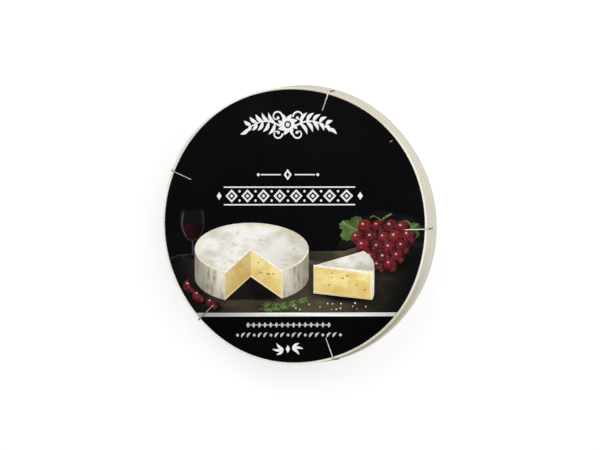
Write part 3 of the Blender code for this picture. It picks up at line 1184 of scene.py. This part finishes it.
def layGrapes(p):
    random.seed(p["grapeSeed"])
    x, y = p["grapes"]
    radius = p["grapeRadius"]
    oval((x, y - 9), 18, 6.5, "shade", 0.95)
    vineLeaf((x - 10.6, y + 3.6), 7.0, math.radians(150), 0.55)
    vineLeaf((x + 11.0, y + 3.2), 5.4, math.radians(35), 0.4)
    ribbon([(x - 1, y + 2), (x + 0.6, y + 7.5), (x + 4.6, y + 10.2)], 1.0, 0.8, "stem", 0.6)
    ribbon([(x + 0.6, y + 7.0), (x - 2.6, y + 9.2), (x - 4.4, y + 8.4)], 0.55, 0.3, "stem", 0.5)
    rows = (
        (4.4, (-6.4, -1.2, 4.0, 9.0)), (0.4, (-9.0, -3.8, 1.4, 6.6, 11.6)), (-3.8, (-6.6, -1.2, 4.2, 9.6)),
        (-8.0, (-4.0, 1.6, 7.0)), (-11.6, (-0.6, 4.4)),
    )
    for rise, places in rows:
        for place in places:
            spot = (x + place + random.uniform(-0.5, 0.5), y + rise + random.uniform(-0.5, 0.5))
            dot(spot, radius * random.uniform(0.9, 1.08), "grape", random.uniform(0.15, 0.9))
    for spot, tone in (((-45.0, -24.6), 0.5), ((-40.6, -28.6), 0.8), ((-34.6, -31.6), 0.3)):
        oval((spot[0] + 0.8, spot[1] - 2.0), 5.0, 2.2, "shade", 1.0)
        dot(spot, 3.0, "grape", tone)
    ribbon([(-42.4, -22.6), (-40.4, -20.4), (-38.6, -20.6)], 0.5, 0.3, "stem", 0.5)


def laySprig(p):
    stem = [(-13.5, -34.2), (-4, -33.4), (6.5, -30.6)]
    ribbon(stem, 0.5, 0.3, "stem", 0.8)
    for index, spot in enumerate(smoothLine(stem, 9)[2:]):
        for lean in (1, -1):
            tone = 0.35 + 0.25 * (index % 3)
            leaf(spot, 12 + lean * (46 - index), 3.3 - 0.08 * index, 0.62, "leaf", tone)
    random.seed(p["crumbSeed"])
    for _ in range(16):
        spot = (random.uniform(-8, 34), random.uniform(-34.4, -31.6))
        dot(spot, random.uniform(0.16, 0.34), "crust", random.uniform(0.3, 0.9))


# Inks: each is a colour worked out from the shape's own frame, its tone and the place on the label

def inkSilver(place, local, tone):
    colour = tint(srgb(246, 246, 245), awayFrom(local, "X"), 0.36, 0.92, (186, 186, 187))
    sheen = spread(awayFrom(local, "Y"), 0.35, 1.0, 1.0, 0.80)
    return mixColour(1.0, colour, sheen, "MULTIPLY")


def inkSlate(place, local, tone):
    streak = noiseOf(place, (50.0, 260.0, 1.0), 4.0, 0.65)
    cloud = noiseOf(place, 34.0, 3.0, 0.55)
    base = tint(srgb(27, 25, 21), cloud, 0.35, 0.68, (80, 73, 54))
    base = tint(base, streak, 0.5, 0.72, (104, 95, 70), (0.0, 0.55))
    speck = noiseOf(place, 1500.0, 2.0)
    base = tint(base, speck, 0.62, 0.74, (112, 106, 94), (0.0, 0.35))
    far = lengthOf(scaled(place, (19.0, 16.0, 0.0)))
    return tint(base, far, 0.5, 1.02, (12, 12, 13))


def inkSlateEdge(place, local, tone):
    return mixColour(0.55, inkSlate(place, local, tone), srgb(62, 59, 54))


def inkShade(place, local, tone):
    near = times(spread(lengthOf(local), 0.45, 1.0, 1.0, 0.0), tone)
    return mixColour(near, inkSlate(place, local, tone), srgb(6, 6, 6))


def inkRindTop(place, local, tone):
    crease = noiseOf(place, (210.0, 420.0, 1.0), 4.0, 0.62)
    mould = noiseOf(place, (70.0, 150.0, 1.0), 2.0, 0.5)
    colour = tint(srgb(240, 238, 232), mould, 0.4, 0.66, (206, 201, 184))
    colour = tint(colour, crease, 0.54, 0.7, (178, 172, 152), (0.0, 0.6))
    colour = tint(colour, crease, 0.28, 0.42, (252, 251, 247), (0.6, 0.0))
    colour = tint(colour, lengthOf(local), 0.80, 1.02, (222, 212, 182), (0.0, 0.55))
    rise = times(axisOf(local, "Y"), 0.6)
    slope = minus(rise, axisOf(local, "X"))
    return tint(colour, slope, -1.3, 0.4, (150, 146, 132), (0.32, 0.0))


def inkRindSide(place, local, tone):
    folds = noiseOf(place, (620.0, 60.0, 1.0), 4.0, 0.6)
    bloom = noiseOf(place, (300.0, 240.0, 1.0), 3.0, 0.6)
    colour = tint(srgb(226, 219, 198), folds, 0.44, 0.66, (158, 145, 112))
    colour = tint(colour, bloom, 0.42, 0.62, (240, 236, 226), (0.55, 0.0))
    colour = tint(colour, awayFrom(local, "X"), 0.45, 1.05, (84, 76, 60), (0.0, 0.75))
    return tint(colour, axisOf(local, "Y"), -1.2, 0.1, (70, 62, 48), (0.45, 0.0))


def inkPaste(place, local, tone):
    soft = noiseOf(place, (120.0, 150.0, 1.0), 3.0, 0.6)
    fine = noiseOf(place, (900.0, 700.0, 1.0), 3.0, 0.7)
    colour = tint(srgb(247, 231, 168), soft, 0.36, 0.66, (226, 198, 116))
    colour = tint(colour, fine, 0.58, 0.72, (204, 172, 92), (0.0, 0.5))
    colour = tint(colour, axisOf(local, "Y"), -1.0, 0.5, (205, 170, 92), (0.55, 0.0))
    wander = times(minus(soft, 0.5), 0.14)
    edge = plus(awayFrom(local, "Y"), wander)
    colour = tint(colour, edge, 0.86, 0.93, (246, 238, 212), (0.0, 0.8))
    outer = plus(axisOf(local, "X"), wander)
    colour = tint(colour, outer, 0.93, 0.97, (244, 236, 212), (0.0, 0.8))
    lit = plus(tone, times(soft, 0.2))
    return tint(colour, lit, 0.3, 0.85, (150, 118, 58), (0.5, 0.0))


def inkCrust(place, local, tone):
    fleck = noiseOf(place, 1100.0, 2.0)
    pale = tint(srgb(252, 249, 240), fleck, 0.4, 0.65, (232, 222, 194))
    return mixColour(spread(tone, 0.2, 0.9), srgb(206, 188, 146), pale)


def inkHole(place, local, tone):
    return tint(srgb(212, 184, 110), axisOf(local, "Y"), -0.6, 0.7, (158, 124, 62))


def inkGrape(place, local, tone):
    square = vectorMaths("DOT_PRODUCT", local, local, "Value")
    bulge = maths("SQRT", maths("SUBTRACT", 1.0, square, clamp=True))
    left, up = times(axisOf(local, "X"), -0.40), times(axisOf(local, "Y"), 0.58)
    lit = plus(plus(left, up), times(bulge, 0.66))
    skin = mixColour(tone, srgb(74, 15, 27), srgb(126, 30, 32))
    shadow = mixColour(tone, srgb(16, 4, 9), srgb(34, 7, 10))
    colour = mixColour(spread(lit, 0.05, 0.95), shadow, skin)
    bounce = lengthOf(shifted(local, (-0.45, 0.55, 0.0)))
    colour = tint(colour, bounce, 0.15, 0.55, (140, 56, 54), (0.35, 0.0))
    dust = spread(noiseOf(place, 1400.0, 3.0), 0.45, 0.75, 0.0, 0.28)
    colour = mixColour(times(dust, bulge), colour, srgb(168, 120, 126))
    shine = lengthOf(scaled(shifted(local, (0.34, -0.42, 0.0)), (1.0, 1.25, 1.0)))
    return tint(colour, shine, 0.05, 0.22, (232, 208, 206), (0.8, 0.0))


def inkLeaf(place, local, tone):
    mottle = noiseOf(place, 260.0, 3.0)
    colour = tint(srgb(44, 74, 40), mottle, 0.35, 0.68, (84, 112, 58))
    colour = tint(colour, tone, 0.3, 0.95, (126, 150, 84), (0.0, 0.75))
    colour = tint(colour, axisOf(local, "Y"), -0.9, 0.7, (18, 34, 20), (0.6, 0.0))
    return tint(colour, awayFrom(local, "Y"), 0.0, 0.10, (140, 160, 96), (0.5, 0.0))


def inkDrape(place, local, tone):
    fold = noiseOf(local, (1.2, 3.2, 1.0), 2.0, 0.5)
    lit = times(spread(fold, 0.42, 0.7), tone)
    return mixColour(lit, srgb(13, 12, 14), srgb(48, 43, 44))


def inkGlass(place, local, tone):
    edge = spread(lengthOf(local), 0.72, 1.0)
    return mixColour(edge, srgb(14, 14, 16), srgb(40, 40, 44))


def inkWine(place, local, tone):
    return tint(srgb(44, 10, 18), axisOf(local, "X"), -0.9, 0.9, (14, 5, 9))


def inkGlint(place, local, tone):
    return mixColour(tone, srgb(34, 34, 38), srgb(104, 104, 110))


def inkPaper(place, local, tone):
    return mixColour(noiseOf(place, 1200.0, 2.0), srgb(226, 224, 218), srgb(206, 203, 196))


# Plain inks: scale and detail of the noise that mottles them, the part of it used, and two colours
plainInks = {
    "black": (38.0, 2.0, 0.45, 0.75, (4, 4, 6), (8, 8, 10)),
    "deep": (60.0, 1.0, 0.4, 0.7, (1, 1, 2), (3, 3, 4)),
    "white": (900.0, 2.0, 0.3, 0.7, (240, 240, 240), (228, 228, 229)),
    "grey": (900.0, 2.0, 0.3, 0.7, (202, 202, 204), (176, 176, 179)),
    "stem": (800.0, 2.0, 0.35, 0.65, (64, 70, 34), (122, 118, 66)),
}


def plainInk(scale, detail, low, high, first, second):
    def colourOf(place, local, tone):
        return tint(srgb(*first), noiseOf(place, scale, detail), low, high, second)

    return colourOf


inks = {name: plainInk(*row) for name, row in plainInks.items()}
inks.update({
    "silver": inkSilver, "slate": inkSlate, "slateEdge": inkSlateEdge, "shade": inkShade,
    "rindTop": inkRindTop, "rindSide": inkRindSide, "paste": inkPaste, "crust": inkCrust,
    "hole": inkHole, "grape": inkGrape, "leaf": inkLeaf, "drape": inkDrape, "glass": inkGlass,
    "wine": inkWine, "glint": inkGlint, "paper": inkPaper,
})


# The coated paper under every ink: long soft waves, fine fibres and an uneven sheen
def paperGroup():
    tree, given, put = newGroup(
        "coatedPaper",
        (("Vector", "Vector", None), ("Sheen Low", "Float", 0.4), ("Sheen High", "Float", 0.5)),
        (("Roughness", "Float"), ("Height", "Float")),
    )
    waves = noiseOf(given["Vector"], 45.0, 1.0, 0.4)
    fibres = noiseOf(given["Vector"], 2600.0, 3.0, 0.6)
    patchy = noiseOf(given["Vector"], 130.0, 3.0, 0.55)
    feed(put["Roughness"], spread(patchy, 0.3, 0.7, given["Sheen Low"], given["Sheen High"]))
    feed(put["Height"], plus(times(waves, 3.0), times(fibres, 0.10)))
    return tree


coatedPaper = paperGroup()


def inkMaterial(name, colourOf):
    material, tree, shader, place, local = newMaterial("print" + name[0].upper() + name[1:])
    tone = addNode(tree, "ShaderNodeAttribute", {"attribute_name": "tone"}).outputs["Fac"]
    paper = useGroup(coatedPaper, Vector=place, Sheen_Low=0.33, Sheen_High=0.41)
    colour = colourOf(place, local, tone)
    coat(shader, colour, paper["Roughness"], paper["Height"], 0.35, 0.03, 0.05)
    return material


def drawPrint(p):
    layDisc()
    layOrnament(p)
    layRules(p)
    layBackdrop(p)
    layGrapes(p)
    layWheel(p["wheel"])
    layWedge(p["wedge"], p["wheel"])
    laySprig(p)
    layFoot(p)
    layFootLines(p)
    ribbon([(42.1, 34.5), (43.2, 35.2)], 0.24, 0.16, "grey")   # a short pale grey mark near the rim


def signedArea(outline):
    return sum(a[0] * b[1] - b[0] * a[1] for a, b in zip(outline, outline[1:] + outline[:1])) / 2


def makeLabel(p):
    drawPrint(p)
    points, outlines = [], []
    for outline, *_ in shapes:
        outlines.append(list(range(len(points), len(points) + len(outline))))
        points += outline if signedArea(outline) > 0 else outline[::-1]
    # 1 keeps the triangles that lie inside an outline
    places, _, corners, _, _, origins = delaunay_2d_cdt(points, [], outlines, 1, 1e-4)
    names = list(inks)
    body = bmesh.new()
    frameMap = body.loops.layers.uv.new("frame")
    toneOf = body.faces.layers.float.new("tone")
    verts = [body.verts.new((spot.x * mm, spot.y * mm, labelHigh.z)) for spot in places]
    for corner, origin in zip(corners, origins):
        if 0 not in origin:
            continue
        _, ink, centre, along, across, tone = shapes[max(origin)]
        face = body.faces.new([verts[index] for index in corner])
        face.material_index = names.index(ink)
        face[toneOf] = tone
        turn = along.x * across.y - along.y * across.x
        for loop, index in zip(face.loops, corner):
            off = places[index] - centre
            u = (off.x * across.y - off.y * across.x) / turn
            v = (along.x * off.y - along.y * off.x) / turn
            loop[frameMap].uv = (u, v)
    bmesh.ops.delete(body, geom=[vert for vert in body.verts if not vert.link_faces], context="VERTS")
    following = {}
    for edge in [edge for edge in body.edges if len(edge.link_faces) == 1]:
        loop = edge.link_loops[0]
        following[loop.vert] = loop.link_loop_next.vert
    first = next(iter(following))
    rim = [first]
    while following[rim[-1]] is not first:
        rim.append(following[rim[-1]])
    under = [body.verts.new((vert.co.x, vert.co.y, labelLow.z)) for vert in rim]
    paper = names.index("paper")
    for index in range(len(rim)):
        after = (index + 1) % len(rim)
        body.faces.new((rim[after], rim[index], under[index], under[after])).material_index = paper
    body.faces.new(under[::-1]).material_index = paper
    mesh = bpy.data.meshes.new("printedLabel")
    body.to_mesh(mesh)
    body.free()
    for name in names:
        mesh.materials.append(inkMaterial(name, inks[name]))
    piece = addObject("printedLabel", mesh)
    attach(piece, "root")
    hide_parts("lid_label")


makeLabel(printLayout)
print("label made")
